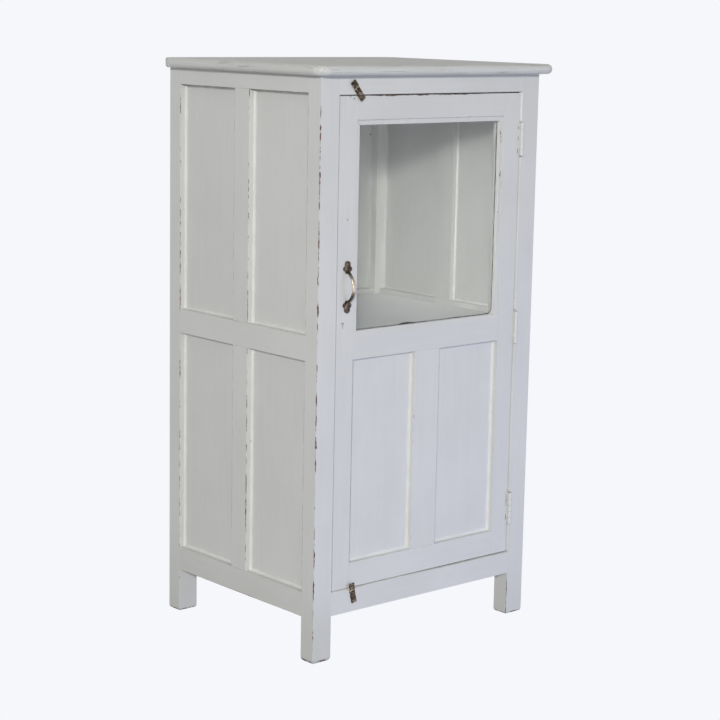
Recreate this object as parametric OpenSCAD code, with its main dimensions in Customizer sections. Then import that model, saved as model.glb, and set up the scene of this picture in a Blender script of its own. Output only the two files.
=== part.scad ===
// Apothecary cabinet: a framed and panelled body on four legs, with one inset
// door that has a pane of glass over two wooden panels.
// Millimetres, +Z up. The door faces -Y and +X is to the right of a person
// who stands in front of it. The origin is on the floor, under the middle of
// the whole outline.

/* [Cabinet] */
// Width of the body, without the top board's overhang
body_w = 650; // [600:1:720]
// Depth of the body, without the top board's overhang
body_d = 536; // [480:1:600]
// Overall height, floor to the top of the board
total_h = 1300; // [1240:1:1400]
// Height of the bottom rails above the floor
leg_h = 103; // [85:1:120]
// Width of each post, side to side
post_w = 51; // [48:1:58]
// Depth of each post, front to back
post_d = 41; // [40:1:48]
// Rounding of the worn foot of the front left leg
worn_foot = 11; // [6:1:13]
// Rounding of the other three feet
foot_round = 7; // [4:1:10]

/* [Top board] */
// Thickness of the top board, with a full round edge
top_t = 22; // [20:1:28]
// Overhang past each side
over_side = 28; // [20:1:40]
// Overhang past the front
over_front = 32; // [32:1:44]
// Overhang past the back
over_back = 3; // [0:1:10]
// Corner radius of the board's outline
top_corner_r = 32; // [20:1:40]
// Corner radius of the top board at the back, seen from above
back_corner_r = 36; // [20:1:44]

/* [Rails and panels] */
// Thickness of the rails and muntins
rail_t = 34; // [32:1:36]
// Height of the front top rail
front_top_h = 40; // [38:1:50]
// Height of the side and rear top rails
top_rail_h = 37; // [34:1:50]
// Height of the side and rear middle rails
mid_rail_h = 55; // [50:1:60]
// Height of the middle rails' lower edge above the floor
mid_rail_z = 671.5; // [650:0.5:700]
// Height of the side and rear bottom rails
bottom_rail_h = 55; // [50:1:65]
// Height of the front bottom rail
front_bottom_h = 51; // [48:1:60]
// Width of the upright muntins in the sides and the back
muntin_w = 53; // [46:1:60]
// Thickness of the sides' and back's panels
panel_t = 4; // [4:0.5:6]
// Depth from the outer face to a side or rear panel
panel_in = 16; // [14:1:18]

/* [Door] */
// Thickness of the door
door_t = 30; // [28:1:34]
// How far the door's face sits behind the posts' faces
door_in = 3; // [2:0.5:4]
// Width of each door stile
stile_w = 49; // [46:1:56]
// Height of the door's top rail
door_top_h = 51; // [46:1:60]
// Height of the door's middle rail
door_mid_h = 51; // [46:1:60]
// Height of the door's middle rail's lower edge above the floor
door_mid_z = 669; // [650:1:690]
// Height of the door's bottom rail
door_bottom_h = 56; // [50:1:64]
// Width of the muntin between the two lower panels
door_muntin_w = 74; // [64:1:84]
// Thickness of the door's panels
door_panel_t = 6; // [5:1:8]
// Depth from the door's face to its panels
door_panel_in = 14; // [12:1:16]
// Width of the glazing beads
bead_w = 11; // [9:1:13]
// Thickness of the glass
glass_t = 3; // [3:0.5:4]

/* [Inside] */
// Height of the shelf's top
shelf_z = 715; // [700:1:724]
// Thickness of the shelf
shelf_t = 18; // [16:1:20]
// Height of the floor board's top
floor_z = 150; // [142:1:152]
// Thickness of the floor board
floor_t = 12; // [10:1:14]

/* [Handle and turn buttons] */
// Height of the middle of the bow pull
handle_z = 829; // [829:1:860]
// Distance between the two feet of the bow pull
handle_centres = 66; // [60:1:72]
// How far the bow pull stands out from the door
handle_out = 25; // [21:1:28]
// Length of the top turn button
top_button_l = 50; // [42:1:52]
// Length of the bottom turn button
bottom_button_l = 47; // [42:1:50]
// Width of a turn button
button_w = 14; // [12:1:16]
// Lean of the top turn button from upright, in degrees
top_button_lean = 40; // [0:1:60]
// Lean of the bottom turn button from upright, in degrees
bottom_button_lean = 14; // [0:1:40]

/* [Hidden] */

$fn = 64;
paint = [0.80, 0.81, 0.80];
bronze = [0.33, 0.26, 0.20];
steel = [0.62, 0.62, 0.60];

// Body planes
xr = body_w / 2;
yf = -(body_d + over_front + over_back) / 2 + over_front;
yb = yf + body_d;
ztop = total_h - top_t;
xi = xr - post_w;              // inner face of every post, seen from the front
yfi = yf + post_d;             // back face of the front posts
ybi = yb - post_d;             // front face of the rear posts
side_in = xr - rail_t;         // inner face of the side rails
rear_in = yb - rail_t;         // inner face of the rear rails

// Rail levels
zb0 = leg_h;
zb1 = leg_h + bottom_rail_h;
zfb1 = leg_h + front_bottom_h;
zm0 = mid_rail_z;
zm1 = mid_rail_z + mid_rail_h;
zt0 = ztop - top_rail_h;
zft0 = ztop - front_top_h;

// Tenons and grooves
ten_t = 12;
ten_l = 22;
shoulder = 10;
groove = 8;

// Door planes
door_gap_lock = 4;
door_gap_hinge = 5;
door_gap_top = 3;
door_gap_bottom = 4;
dx0 = -xi + door_gap_lock;
dx1 = xi - door_gap_hinge;
dy0 = yf + door_in;
dy1 = dy0 + door_t;
dz0 = zfb1 + door_gap_bottom;
dz1 = zft0 - door_gap_top;
sx0 = dx0 + stile_w;
sx1 = dx1 - stile_w;
dmid = (sx0 + sx1) / 2;
dz_bottom = dz0 + door_bottom_h;
dz_mid0 = door_mid_z;
dz_mid1 = door_mid_z + door_mid_h;
dz_top = dz1 - door_top_h;
door_ten_t = 10;
door_ten_l = 30;
dyc = dy0 + door_t / 2;

// Butt hinges
hinge_h = 75;
hinge_r = 4.5;
hinge_pin_r = 2;
hinge_fit = 0.05;
leaf_t = 2.1;
leaf_w = 27;
knuckle_gap = 0.4;
pin_x = xi - door_gap_hinge / 2;
pin_y = yf - 4.1;
hinge_zs = [dz0 + 105.5, (dz0 + dz1) / 2 - 0.7, dz1 - 104.5];

// Lock
keyhole_x = dx0 + 18;
keyhole_z = 750;
keyhole_r = 3.4;
lock_z0 = 721;
lock_h = 63;
lock_t = 12;
lock_depth = 34;
lock_wall = 1.5;
face_t = 2;
face_w = 14;
face_h = 78;
lock_zc = lock_z0 + lock_h / 2;
bolt_t = 7;
bolt_h = 15;
bolt_zc = 764.5;
bolt_l = 27;

// Turn buttons
button_t = 2.5;
button_gap = 0.3;
button_step = 2.5;
button_pin_r = 2.2;
button_hole_r = 2.25;
top_button_x = -225;
top_button_z = zft0 + 8.5;
bottom_button_x = -214;
bottom_button_z = zfb1 - 8;

// ---- small helpers ----

// Box between two corners
module box(a, b) { translate(a) cube(b - a); }

// Countersunk wood screw: head's face at z = 0, shank towards -Z
module screw(len, r, head_r, c = 0) {
  translate([0, 0, -len]) cylinder(r = r + c, h = len);
  translate([0, 0, -(head_r - r)])
    cylinder(r1 = r + c, r2 = head_r + c, h = head_r - r);
}

// ---- body frame ----

// Tenons at both ends of a side rail; s is -1 on the left and 1 on the right
module side_tenons(s, z0, z1) {
  xc = s * (xr - rail_t / 2);
  for (y = [yfi - ten_l, ybi])
    box([xc - ten_t / 2, y, z0 + shoulder], [xc + ten_t / 2, y + ten_l, z1 - shoulder]);
}

// Tenons at both ends of a front or rear rail; yc is the rail's mid plane
module cross_tenons(yc, z0, z1) {
  for (x = [-xi - ten_l, xi])
    box([x, yc - ten_t / 2, z0 + shoulder], [x + ten_l, yc + ten_t / 2, z1 - shoulder]);
}

front_yc = yf + rail_t / 2;
rear_yc = yb - rail_t / 2;

module side_rail_blank(s, z0, z1) {
  x0 = s < 0 ? -xr : side_in;
  box([x0, yfi, z0], [x0 + rail_t, ybi, z1]);
  side_tenons(s, z0, z1);
}

module cross_rail_blank(y0, z0, z1) {
  box([-xi, y0, z0], [xi, y0 + rail_t, z1]);
  cross_tenons(y0 + rail_t / 2, z0, z1);
}

side_mid_y = (yfi + ybi) / 2;

// Upright between two side rails, with stub tenons
module side_muntin(s, z0, z1) {
  x0 = s < 0 ? -xr : side_in;
  xc = x0 + rail_t / 2;
  box([x0, side_mid_y - muntin_w / 2, z0], [x0 + rail_t, side_mid_y + muntin_w / 2, z1]);
  side_muntin_tenons(s, z0, z1);
}

module side_muntin_tenons(s, z0, z1) {
  xc = s * (xr - rail_t / 2);
  box([xc - ten_t / 2, side_mid_y - muntin_w / 2 + groove, z0 - groove],
      [xc + ten_t / 2, side_mid_y + muntin_w / 2 - groove, z1 + groove]);
}

module rear_muntin(z0, z1) {
  box([-muntin_w / 2, rear_in, z0], [muntin_w / 2, yb, z1]);
  rear_muntin_tenons(z0, z1);
}

module rear_muntin_tenons(z0, z1) {
  box([-muntin_w / 2 + groove, rear_yc - ten_t / 2, z0 - groove],
      [muntin_w / 2 - groove, rear_yc + ten_t / 2, z1 + groove]);
}

// The two flat panels between a pair of side rails
module side_panels(s, z0, z1) {
  x0 = s < 0 ? -xr + panel_in : xr - panel_in - panel_t;
  for (y = [[yfi - groove, side_mid_y - muntin_w / 2 + groove],
            [side_mid_y + muntin_w / 2 - groove, ybi + groove]])
    box([x0, y[0], z0 - groove], [x0 + panel_t, y[1], z1 + groove]);
}

module rear_panels(z0, z1) {
  y0 = yb - panel_in - panel_t;
  for (x = [[-xi - groove, -muntin_w / 2 + groove], [muntin_w / 2 - groove, xi + groove]])
    box([x[0], y0, z0 - groove], [x[1], y0 + panel_t, z1 + groove]);
}

// Profile of a leg seen from one side: upright strip from a to b whose two
// lower corners are rounded by r in short flats
module leg_profile(a, b, r) {
  turn = [for (k = [0:6]) let (t = k * 15)
    [round(100 * r * (1 - sin(t))) / 100, round(100 * r * (1 - cos(t))) / 100]];
  polygon(concat(
    [for (k = [0:6]) [a + turn[k][0], turn[k][1]]],
    [[a, ztop], [b, ztop]],
    [for (k = [6:-1:0]) [b - turn[k][0], turn[k][1]]]));
}

// Square post with a rounded foot
module post_blank(x0, y0, r) {
  intersection() {
    translate([0, y0 + post_d, 0]) rotate([90, 0, 0])
      linear_extrude(post_d) leg_profile(x0, x0 + post_w, r);
    translate([x0, 0, 0]) rotate([90, 0, 90])
      linear_extrude(post_w) leg_profile(y0, y0 + post_d, r);
  }
}

// One post: sx is -1 left or 1 right, sy is -1 front or 1 rear
module post(sx, sy) {
  x0 = sx < 0 ? -xr : xi;
  y0 = sy < 0 ? yf : ybi;
  difference() {
    post_blank(x0, y0, sx < 0 && sy < 0 ? worn_foot : foot_round);
    side_tenons(sx, zb0, zb1);
    side_tenons(sx, zm0, zm1);
    side_tenons(sx, zt0, ztop);
    side_panels(sx, zb1, zm0);
    side_panels(sx, zm1, zt0);
    if (sy < 0) {
      cross_tenons(front_yc, zb0, zfb1);
      cross_tenons(front_yc, zft0, ztop);
    } else {
      cross_tenons(rear_yc, zb0, zb1);
      cross_tenons(rear_yc, zm0, zm1);
      cross_tenons(rear_yc, zt0, ztop);
      rear_panels(zb1, zm0);
      rear_panels(zm1, zt0);
    }
    if (sx < 0 && sy < 0) { strike_pocket(); strike_screws_at(0.1); }
    if (sx > 0 && sy < 0) frame_hinge_screws_at(0.1);
  }
}

module post_front_left() color(paint) post(-1, -1);
module post_front_right() color(paint) post(1, -1);
module post_rear_left() color(paint) post(-1, 1);
module post_rear_right() color(paint) post(1, 1);

module front_top_rail() color(paint) difference() {
  cross_rail_blank(yf, zft0, ztop);
  button_screw_at(top_button_x, top_button_z, 0.05);
}

module front_bottom_rail() color(paint) difference() {
  cross_rail_blank(yf, zb0, zfb1);
  button_screw_at(bottom_button_x, bottom_button_z, 0.05);
}

module rear_rail(z0, z1) difference() {
  cross_rail_blank(rear_in, z0, z1);
  rear_panels(zb1, zm0);
  rear_panels(zm1, zt0);
  rear_muntin_tenons(zb1, zm0);
  rear_muntin_tenons(zm1, zt0);
}

module rear_top_rail() color(paint) rear_rail(zt0, ztop);
module rear_mid_rail() color(paint) rear_rail(zm0, zm1);
module rear_bottom_rail() color(paint) rear_rail(zb0, zb1);

module side_rail(s, z0, z1) difference() {
  side_rail_blank(s, z0, z1);
  side_panels(s, zb1, zm0);
  side_panels(s, zm1, zt0);
  side_muntin_tenons(s, zb1, zm0);
  side_muntin_tenons(s, zm1, zt0);
  bearer_screws_at(0.1);
}

module left_top_rail() color(paint) side_rail(-1, zt0, ztop);
module left_mid_rail() color(paint) side_rail(-1, zm0, zm1);
module left_bottom_rail() color(paint) side_rail(-1, zb0, zb1);
module right_top_rail() color(paint) side_rail(1, zt0, ztop);
module right_mid_rail() color(paint) side_rail(1, zm0, zm1);
module right_bottom_rail() color(paint) side_rail(1, zb0, zb1);

module side_muntins(s) difference() {
  union() { side_muntin(s, zb1, zm0); side_muntin(s, zm1, zt0); }
  side_panels(s, zb1, zm0);
  side_panels(s, zm1, zt0);
}

module left_muntins() color(paint) side_muntins(-1);
module right_muntins() color(paint) side_muntins(1);

module rear_muntins() color(paint) difference() {
  union() { rear_muntin(zb1, zm0); rear_muntin(zm1, zt0); }
  rear_panels(zb1, zm0);
  rear_panels(zm1, zt0);
}

module left_upper_panels() color(paint) side_panels(-1, zm1, zt0);
module left_lower_panels() color(paint) side_panels(-1, zb1, zm0);
module right_upper_panels() color(paint) side_panels(1, zm1, zt0);
module right_lower_panels() color(paint) side_panels(1, zb1, zm0);
module rear_upper_panels() color(paint) rear_panels(zm1, zt0);
module rear_lower_panels() color(paint) rear_panels(zb1, zm0);

// ---- top board ----

// Half disc that rounds the board's edge, flat side on the Y axis
module nose() {
  intersection() {
    circle(r = top_t / 2);
    translate([0, -top_t / 2]) square([top_t / 2, top_t]);
  }
}

// The same, worn square: small rounding above, larger below
module worn_nose() {
  r = top_t / 2;
  a = r * 0.3;
  b = r * 0.6;
  translate([0, -r + b]) square([r, 2 * r - a - b]);
  translate([0, r - a]) square([r - a, a]);
  translate([0, -r]) square([r - b, b]);
  translate([r - a, r - a]) circle(r = a);
  translate([r - b, -r + b]) circle(r = b);
}

module top_board() color(paint) {
  r = top_t / 2;
  q = top_corner_r;
  w = back_corner_r;
  x1 = xr + over_side;
  y0 = yf - over_front;
  y1 = yb + over_back;
  zc = ztop + r;
  difference() {
    union() {
      box([-x1 + q, y0 + r, ztop], [x1 - q, y1 - w, total_h]);
      box([-x1 + r, y0 + q, ztop], [x1 - r, y1 - w, total_h]);
      box([-x1 + w, y1 - w - 1, ztop], [x1 - w, y1, total_h]);
      // rounded front and side edges; the back edge is cut square
      translate([x1 - r, y1 - w, zc]) rotate([90, 0, 0])
        linear_extrude(y1 - y0 - q - w) nose();
      translate([-x1 + r, y0 + q, zc]) rotate([90, 0, 180])
        linear_extrude(y1 - y0 - q - w) nose();
      translate([-x1 + q, y0 + r, zc]) rotate([90, 0, 0]) rotate([0, 90, 0])
        linear_extrude(2 * x1 - 2 * q) mirror([1, 0]) nose();
      // rounded front corners
      for (k = [[-x1 + q, y0 + q, 180], [x1 - q, y0 + q, 270]])
        translate([k[0], k[1], zc]) rotate([0, 0, k[2]])
          rotate_extrude(angle = 90) {
            translate([0, -r]) square([q - r, top_t]);
            translate([q - r, 0]) nose();
          }
      // rounded back corners
      for (k = [[x1 - w, y1 - w, 0], [-x1 + w, y1 - w, 90]])
        translate([k[0], k[1], zc]) rotate([0, 0, k[2]])
          rotate_extrude(angle = 90) {
            translate([0, -r]) square([w - r, top_t]);
            translate([w - r, 0]) worn_nose();
          }
    }
    top_screws_at(0.1);
  }
}

// ---- shelf, floor board and their bearers ----

gap_board = 1;

// Cuts a board clear of the four posts
module post_notches(z0, z1) {
  for (sx = [-1, 1]) {
    xa = sx < 0 ? -xr : xi - gap_board;
    box([xa, yf, z0 - 1], [xa + post_w + gap_board, yfi + gap_board, z1 + 1]);
    box([xa, ybi - gap_board, z0 - 1], [xa + post_w + gap_board, yb, z1 + 1]);
  }
}

shelf_y0 = yfi + 4.5;

module shelf() color(paint) difference() {
  box([-side_in + gap_board, shelf_y0, shelf_z - shelf_t],
      [side_in - gap_board, rear_in - gap_board, shelf_z]);
  post_notches(shelf_z - shelf_t, shelf_z);
}

module floor_board() color(paint) difference() {
  box([-side_in + gap_board, yf + rail_t + gap_board, floor_z - floor_t],
      [side_in - gap_board, rear_in - gap_board, floor_z]);
  post_notches(floor_z - floor_t, floor_z);
}

bearer_w = 20;
bearer_y0 = yfi + 8;
bearer_y1 = ybi - 6;
shelf_bearer_h = 22;
floor_bearer_h = 20;
bearer_tops = [shelf_z - shelf_t, floor_z - floor_t];
bearer_hs = [shelf_bearer_h, floor_bearer_h];
bearer_screw_ys = [bearer_y0 + 40, (bearer_y0 + bearer_y1) / 2, bearer_y1 - 40];

module bearer_screws_at(c) {
  for (s = [-1, 1]) for (i = [0, 1]) for (y = bearer_screw_ys)
    translate([s * (side_in - bearer_w), y, bearer_tops[i] - bearer_hs[i] / 2])
      rotate([0, -s * 90, 0]) screw(38, 2, 4, c);
}

module board_bearers() color(paint) difference() {
  for (s = [-1, 1]) for (i = [0, 1]) {
    xa = s < 0 ? -side_in : side_in - bearer_w;
    box([xa, bearer_y0, bearer_tops[i] - bearer_hs[i]],
        [xa + bearer_w, bearer_y1, bearer_tops[i]]);
  }
  bearer_screws_at(0.1);
}

module bearer_screws() color(steel) bearer_screws_at(0);

cleat_w = 24;
cleat_h = 24;

module top_screws_at(c) {
  for (s = [-1, 1]) for (y = bearer_screw_ys)
    translate([s * (side_in - cleat_w / 2), y, ztop - cleat_h])
      rotate([180, 0, 0]) screw(38, 2.2, 4.4, c);
}

module top_cleats() color(paint) difference() {
  for (s = [-1, 1]) {
    xa = s < 0 ? -side_in : side_in - cleat_w;
    box([xa, bearer_y0, ztop - cleat_h], [xa + cleat_w, bearer_y1, ztop]);
  }
  top_screws_at(0.1);
}

module top_screws() color(steel) top_screws_at(0);

// Strip on the lock-side post that the shut door rests against
module door_stop() color(paint)
  box([-xi, dy1 + 0.3, keyhole_z + 80], [-xi + 12, yfi, dz1 - 60]);

// ---- butt hinges ----

// Cylinder about the pin axis, from z0 up by h
module about_pin(r, z0, h) { translate([pin_x, pin_y, z0]) cylinder(r = r, h = h); }

// Knuckle k of five on the hinge whose middle is zc
module knuckle(zc, k) {
  seg = hinge_h / 5;
  about_pin(hinge_r, zc - hinge_h / 2 + k * seg + knuckle_gap / 2, seg - knuckle_gap);
}

// One leaf: x0 is the plate's left face, ks the knuckles that it carries
module leaf(zc, x0, ks, bore_r) {
  seg = hinge_h / 5;
  difference() {
    union() {
      box([x0, pin_y + hinge_r + 0.4, zc - hinge_h / 2],
          [x0 + leaf_t, pin_y + leaf_w, zc + hinge_h / 2]);
      for (k = ks) {
        knuckle(zc, k);
        box([x0, pin_y, zc - hinge_h / 2 + k * seg + knuckle_gap / 2],
            [x0 + leaf_t, pin_y + hinge_r + 0.4,
             zc - hinge_h / 2 + (k + 1) * seg - knuckle_gap / 2]);
      }
    }
    about_pin(bore_r, zc - hinge_h / 2 - 1, hinge_h + 2);
  }
}

leaf_screw_dz = [-26, 0, 26];
leaf_screw_y = [pin_y + 21, pin_y + 15, pin_y + 21];

module frame_hinge_screws_at(c) {
  for (zc = hinge_zs) for (i = [0, 1, 2])
    translate([xi - leaf_t, leaf_screw_y[i], zc + leaf_screw_dz[i]])
      rotate([0, -90, 0]) screw(20, 1.8, 3.4, c);
}

module door_hinge_screws_at(c) {
  for (zc = hinge_zs) for (i = [0, 1, 2])
    translate([dx1 + leaf_t, leaf_screw_y[i], zc + leaf_screw_dz[i]])
      rotate([0, 90, 0]) screw(18, 1.8, 3.4, c);
}

module hinge_frame_leaves() color(paint) difference() {
  for (zc = hinge_zs) leaf(zc, xi - leaf_t, [0, 2, 4], hinge_pin_r + hinge_fit / 2);
  frame_hinge_screws_at(0.05);
}

module hinge_door_leaves() color(paint) difference() {
  for (zc = hinge_zs) leaf(zc, dx1, [1, 3], hinge_pin_r + hinge_fit);
  door_hinge_screws_at(0.05);
}

module hinge_pins() color(steel)
  for (zc = hinge_zs) about_pin(hinge_pin_r, zc - hinge_h / 2 - 1, hinge_h + 2);

module hinge_frame_screws() color(steel) frame_hinge_screws_at(0);
module hinge_door_screws() color(steel) door_hinge_screws_at(0);

// ---- strike plate in the lock-side post ----

strike_h = 56;
strike_screw_dz = 21;

module strike_pocket() {
  box([-xi - face_t, dyc - face_w / 2, bolt_zc - strike_h / 2],
      [-xi + 1, dyc + face_w / 2, bolt_zc + strike_h / 2]);
  box([-xi - 16, dyc - 5.5, bolt_zc - 10], [-xi, dyc + 5.5, bolt_zc + 10]);
}

module strike_screws_at(c) {
  for (s = [-1, 1]) translate([-xi, dyc, bolt_zc + s * strike_screw_dz])
    rotate([0, 90, 0]) screw(16, 1.6, 3, c);
}

module strike_plate() color(steel) difference() {
  box([-xi - face_t, dyc - face_w / 2, bolt_zc - strike_h / 2],
      [-xi, dyc + face_w / 2, bolt_zc + strike_h / 2]);
  box([-xi - face_t - 1, dyc - 4.5, bolt_zc - 8.5], [-xi + 1, dyc + 4.5, bolt_zc + 8.5]);
  strike_screws_at(0.05);
}

module strike_screws() color(steel) strike_screws_at(0);

// ---- door ----

// Tenons of a door rail between the stiles
module door_tenons(z0, z1) {
  for (x = [sx0 - door_ten_l, sx1])
    box([x, dyc - door_ten_t / 2, z0 + shoulder],
        [x + door_ten_l, dyc + door_ten_t / 2, z1 - shoulder]);
}

module door_rail_blank(z0, z1) {
  box([sx0, dy0, z0], [sx1, dy1, z1]);
  door_tenons(z0, z1);
}

module door_panel_box(x0, x1) {
  box([x0 - groove, dy0 + door_panel_in, dz_bottom - groove],
      [x1 + groove, dy0 + door_panel_in + door_panel_t, dz_mid0 + groove]);
}

module door_panels_both() {
  door_panel_box(sx0, dmid - door_muntin_w / 2);
  door_panel_box(dmid + door_muntin_w / 2, sx1);
}

module door_muntin_tenons() {
  box([dmid - door_muntin_w / 2 + groove, dyc - door_ten_t / 2, dz_bottom - groove],
      [dmid + door_muntin_w / 2 - groove, dyc + door_ten_t / 2, dz_mid0 + groove]);
}

// Pocket for the lock, keyhole through to the door's face
module lock_pocket() {
  box([dx0 - 1, dyc - face_w / 2, lock_zc - face_h / 2],
      [dx0 + face_t, dyc + face_w / 2, lock_zc + face_h / 2]);
  box([dx0, dyc - lock_t / 2, lock_z0],
      [dx0 + face_t + lock_depth, dyc + lock_t / 2, lock_z0 + lock_h]);
  keyhole();
}

module keyhole() {
  translate([keyhole_x, dyc, keyhole_z]) rotate([90, 0, 0])
    cylinder(r = keyhole_r, h = door_t / 2 + 1);
  box([keyhole_x - 1.5, dy0 - 1, keyhole_z - 10.5], [keyhole_x + 1.5, dyc, keyhole_z]);
}

lock_screw_dz = 35;

module lock_screws_at(c) {
  for (s = [-1, 1]) translate([dx0, dyc, lock_zc + s * lock_screw_dz])
    rotate([0, -90, 0]) screw(16, 1.5, 2.8, c);
}

module handle_screws_at(c) {
  for (s = [-1, 1]) translate([handle_x, dy1, handle_z + s * handle_centres / 2])
    rotate([90, 0, 0]) {
      cylinder(r = 2 + c, h = door_t + 3 + c);
      translate([0, 0, -2.4]) cylinder(r = 4, h = 2.4);
    }
}

module door_lock_stile() color(paint) difference() {
  box([dx0, dy0, dz0], [sx0, dy1, dz1]);
  door_tenons(dz0, dz_bottom);
  door_tenons(dz_mid0, dz_mid1);
  door_tenons(dz_top, dz1);
  door_panels_both();
  lock_pocket();
  lock_screws_at(0.1);
  handle_screws_at(0.1);
}

module door_hinge_stile() color(paint) difference() {
  box([sx1, dy0, dz0], [dx1, dy1, dz1]);
  door_tenons(dz0, dz_bottom);
  door_tenons(dz_mid0, dz_mid1);
  door_tenons(dz_top, dz1);
  door_panels_both();
  door_hinge_screws_at(0.1);
}

module door_top_rail() color(paint) door_rail_blank(dz_top, dz1);

module door_mid_rail() color(paint) difference() {
  door_rail_blank(dz_mid0, dz_mid1);
  door_panels_both();
  door_muntin_tenons();
}

module door_bottom_rail() color(paint) difference() {
  door_rail_blank(dz0, dz_bottom);
  door_panels_both();
  door_muntin_tenons();
}

module door_muntin() color(paint) difference() {
  union() {
    box([dmid - door_muntin_w / 2, dy0, dz_bottom], [dmid + door_muntin_w / 2, dy1, dz_mid0]);
    door_muntin_tenons();
  }
  door_panels_both();
}

module door_left_panel() color(paint) door_panel_box(sx0, dmid - door_muntin_w / 2);
module door_right_panel() color(paint) door_panel_box(dmid + door_muntin_w / 2, sx1);

// ---- glass and its beads ----

bead_in = 4;
front_bead_t = 8;
rear_bead_t = 10;
glass_y0 = dy0 + bead_in + front_bead_t;
mitre_gap = 0.3;

// Flat mitred strip of length l and width bead_w, outer edge on y = 0
module bead_strip(l, t) {
  g = mitre_gap;
  w = bead_w;
  linear_extrude(t) polygon([[g, 0], [l - g, 0], [l - w - g, w], [w + g, w]]);
}

// Four strips round the light, from plane y0 back by t
module bead_ring(y0, t) {
  w = sx1 - sx0;
  h = dz_top - dz_mid1;
  translate([sx0, y0 + t, dz_mid1]) rotate([90, 0, 0]) bead_strip(w, t);
  translate([sx1, y0 + t, dz_top]) rotate([90, 0, 0]) rotate([0, 0, 180]) bead_strip(w, t);
  translate([sx1, y0 + t, dz_mid1]) rotate([90, 0, 0]) rotate([0, 0, 90]) bead_strip(h, t);
  translate([sx0, y0 + t, dz_top]) rotate([90, 0, 0]) rotate([0, 0, -90]) bead_strip(h, t);
}

module front_glazing_beads() color(paint) bead_ring(dy0 + bead_in, front_bead_t);
module rear_glazing_beads() color(paint) bead_ring(glass_y0 + glass_t, rear_bead_t);

module door_glass() color([0.7, 0.8, 0.8, 0.35])
  box([sx0 + 1.5, glass_y0, dz_mid1 + 1.5], [sx1 - 1.5, glass_y0 + glass_t, dz_top - 1.5]);

// ---- bow pull ----

handle_x = dx0 + 28;
plate_t = 2.5;

// Lobed end plate, its long lobe towards +Y and the bow's foot at the origin
module leaf_plate() {
  translate([0, 1.5]) circle(r = 6);
  for (s = [-1, 1]) translate([s * 5.6, 6.5]) circle(r = 6);
  translate([0, 16]) circle(r = 7.5);
}

// Raised middle of the end plate
module leaf_rib() {
  translate([0, 1.5]) circle(r = 4);
  for (s = [-1, 1]) translate([s * 5.2, 6.5]) circle(r = 3.4);
  translate([0, 16]) circle(r = 4.6);
  translate([-2, 1.5]) square([4, 14.5]);
}

// Section of the bow: a flat bar with round sides
module bow_section() {
  for (s = [-1, 1]) translate([0, s * 1.6]) circle(r = 2.2);
  translate([-2.2, -1.6]) square([4.4, 3.2]);
}

module handle() color(bronze) {
  half = handle_centres / 2;
  sag = handle_out - plate_t - 2.2;
  bow_r = (half * half + sag * sag) / (2 * sag);
  a = asin(half / bow_r);
  difference() {
    union() {
      for (s = [-1, 1]) translate([handle_x, dy0, handle_z + s * half])
        rotate([90, 0, 0]) {
          linear_extrude(plate_t) mirror([0, s < 0 ? 1 : 0]) leaf_plate();
          linear_extrude(plate_t + 1) mirror([0, s < 0 ? 1 : 0]) leaf_rib();
        }
      for (s = [-1, 1]) translate([handle_x, dy0, handle_z + s * half])
        rotate([90, 0, 0]) cylinder(r = 4.4, h = plate_t + 2.4);
      intersection() {
        translate([handle_x, dy0 - plate_t + bow_r - sag, handle_z])
          rotate([0, 90, 0]) rotate([0, 0, 180 + (90 - a) - 4])
            rotate_extrude(angle = 2 * a + 8, $fn = 96) translate([bow_r, 0]) bow_section();
        box([handle_x - 20, dy0 - handle_out - 5, handle_z - half - 5],
            [handle_x + 20, dy0 - plate_t, handle_z + half + 5]);
      }
    }
    handle_screws_at(0.05);
  }
}

module handle_screws() color(bronze) handle_screws_at(0);

// ---- lock ----

module lock_case() color(steel) difference() {
  union() {
    box([dx0 + face_t, dyc - lock_t / 2, lock_z0],
        [dx0 + face_t + lock_depth, dyc + lock_t / 2, lock_z0 + lock_h]);
    box([dx0, dyc - face_w / 2, lock_zc - face_h / 2],
        [dx0 + face_t, dyc + face_w / 2, lock_zc + face_h / 2]);
  }
  box([dx0 + face_t, dyc - lock_t / 2 + lock_wall, lock_z0 + lock_wall],
      [dx0 + face_t + lock_depth - lock_wall, dyc + lock_t / 2 - lock_wall,
       lock_z0 + lock_h - lock_wall]);
  box([dx0 - 1, dyc - bolt_t / 2 - 0.3, bolt_zc - bolt_h / 2 - 0.3],
      [dx0 + face_t + 1, dyc + bolt_t / 2 + 0.3, bolt_zc + bolt_h / 2 + 0.3]);
  keyhole();
  lock_screws_at(0.05);
}

module lock_screws() color(steel) lock_screws_at(0);

module lock_bolt() color(steel)
  box([dx0, dyc - bolt_t / 2, bolt_zc - bolt_h / 2],
      [dx0 + bolt_l, dyc + bolt_t / 2, bolt_zc + bolt_h / 2]);

// ---- turn buttons ----

// Strip outline with small round corners, length along Y
module button_outline(length) {
  r = 1.5;
  w = button_w / 2 - r;
  l = length / 2 - r;
  square([2 * w, length], center = true);
  square([button_w, 2 * l], center = true);
  for (x = [-w, w]) for (y = [-l, l]) translate([x, y]) circle(r = r, $fn = 32);
}

// Stepped strip: back face on z = 0, the part past y = 8 stands further out
module button_strip(length) {
  s = button_step;
  t = button_t;
  l = length / 2;
  difference() {
    intersection() {
      linear_extrude(t + s) button_outline(length);
      translate([-button_w / 2, 0, 0]) rotate([90, 0, 90]) linear_extrude(button_w)
        polygon([[-l, 0], [8 + t * 0.4, 0], [8 + t * 0.4 + 0.9, s], [l, s],
                 [l, s + t], [8 - t * 0.4 + 0.9, s + t], [8 - t * 0.4, t], [-l, t]]);
    }
    translate([0, 0, -1]) cylinder(r = button_hole_r, h = t + 2);
  }
}

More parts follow.
